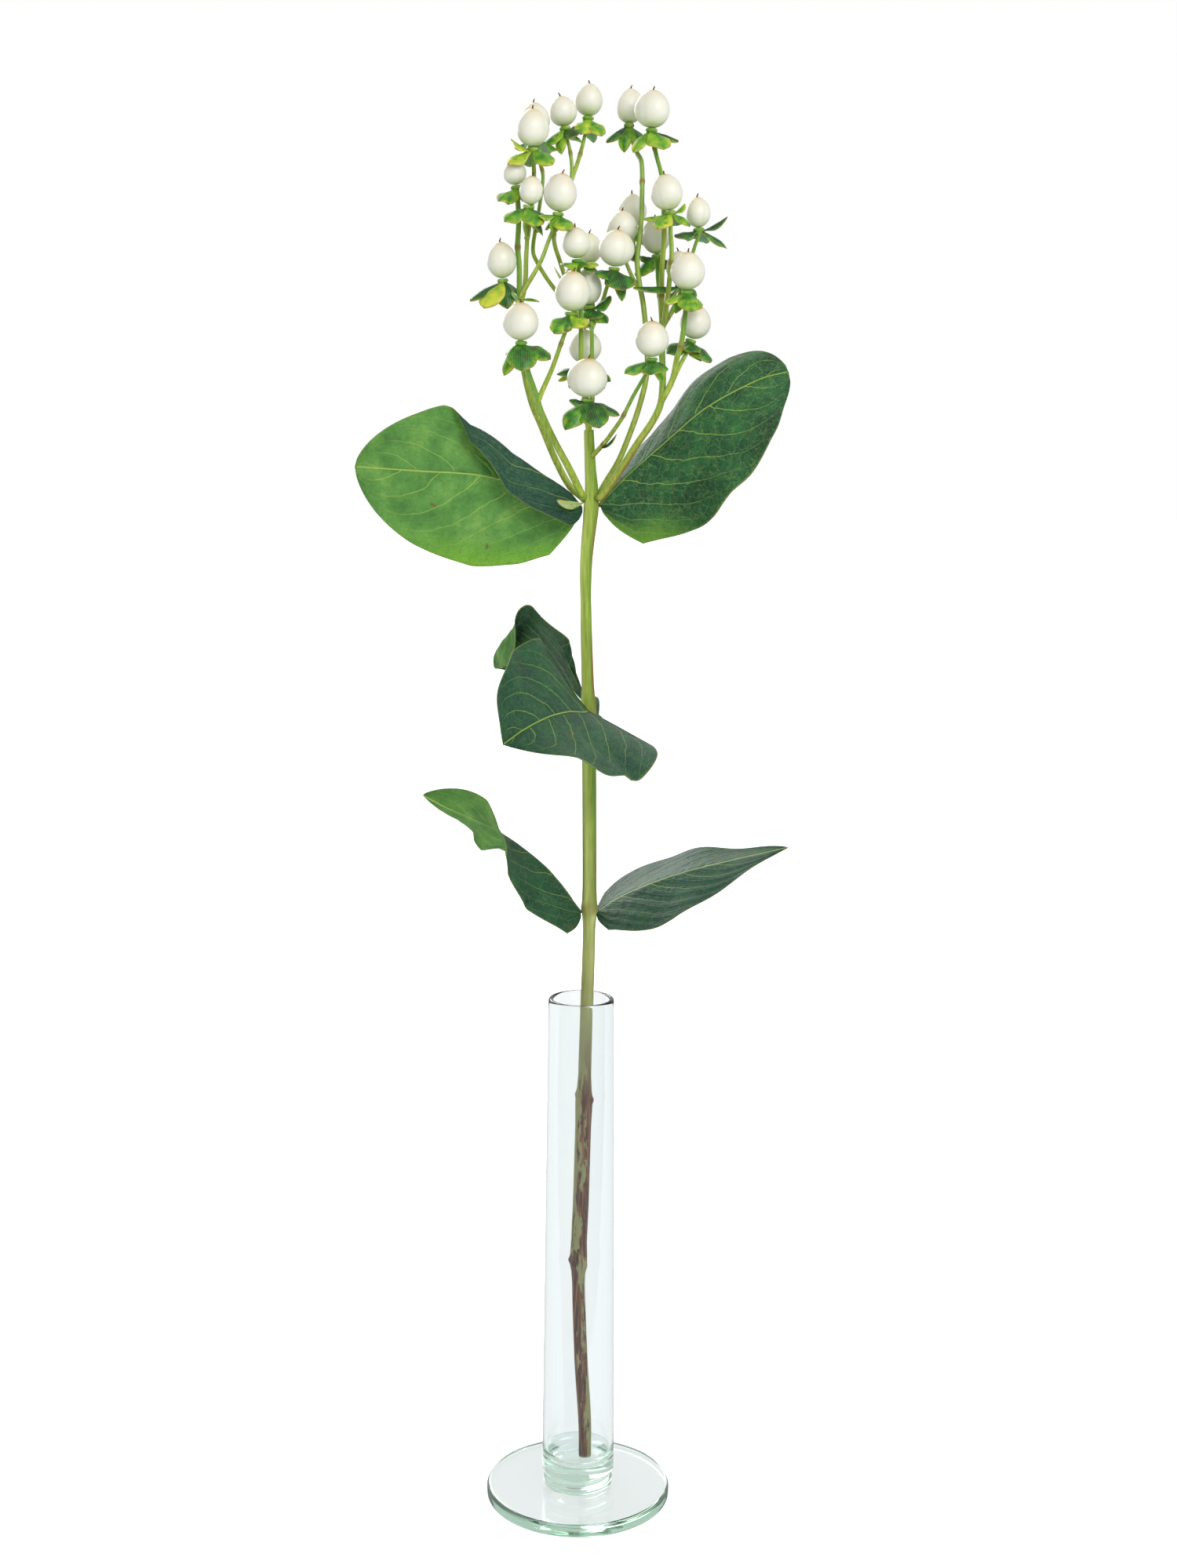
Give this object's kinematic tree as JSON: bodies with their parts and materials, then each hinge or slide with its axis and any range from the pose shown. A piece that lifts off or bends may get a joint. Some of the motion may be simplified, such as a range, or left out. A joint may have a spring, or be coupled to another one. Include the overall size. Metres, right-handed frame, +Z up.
{
  "type": "hypericum in vase",
  "caption": "Cut hypericum stem with opposite leaves and a branched head of ivory berries, standing in a slim clear glass bud vase.",
  "frame": {"origin": "centre of the underside of the vase's foot, on the table", "axes": "+Z up along the vase and the stem, -Y towards the viewer, +X to the viewer's right"},
  "size_m": [0.1592, 0.13, 0.5359],
  "materials": {
    "clear_glass": "polished clear glass",
    "green_stalk": "living green stem and sepals, satin",
    "leaf_green": "living leaf, waxy satin above",
    "ivory_berry": "smooth waxy berry skin"
  },
  "bodies": {
    "root": {"vase": "clear_glass", "main_stem": "green_stalk", "spray_left_outer": "green_stalk", "spray_left_inner": "green_stalk", "spray_right_inner": "green_stalk", "spray_right_outer": "green_stalk", "leaf_top_left": "leaf_green", "leaf_top_right": "leaf_green", "leaf_middle_front": "leaf_green", "leaf_middle_back": "leaf_green", "leaf_bottom_left": "leaf_green", "leaf_bottom_right": "leaf_green", "berry_01": "ivory_berry", "berry_02": "ivory_berry", "berry_03": "ivory_berry", "berry_04": "ivory_berry", "berry_05": "ivory_berry", "berry_06": "ivory_berry", "berry_07": "ivory_berry", "berry_08": "ivory_berry", "berry_09": "ivory_berry", "berry_10": "ivory_berry", "berry_11": "ivory_berry", "berry_12": "ivory_berry", "berry_13": "ivory_berry", "berry_14": "ivory_berry", "berry_15": "ivory_berry", "berry_16": "ivory_berry", "berry_17": "ivory_berry", "berry_18": "ivory_berry", "berry_19": "ivory_berry", "berry_20": "ivory_berry", "berry_21": "ivory_berry", "berry_22": "ivory_berry", "berry_23": "ivory_berry", "berry_24": "ivory_berry", "berry_25": "ivory_berry", "berry_26": "ivory_berry", "berry_27": "ivory_berry"}
  },
  "joints": []
}
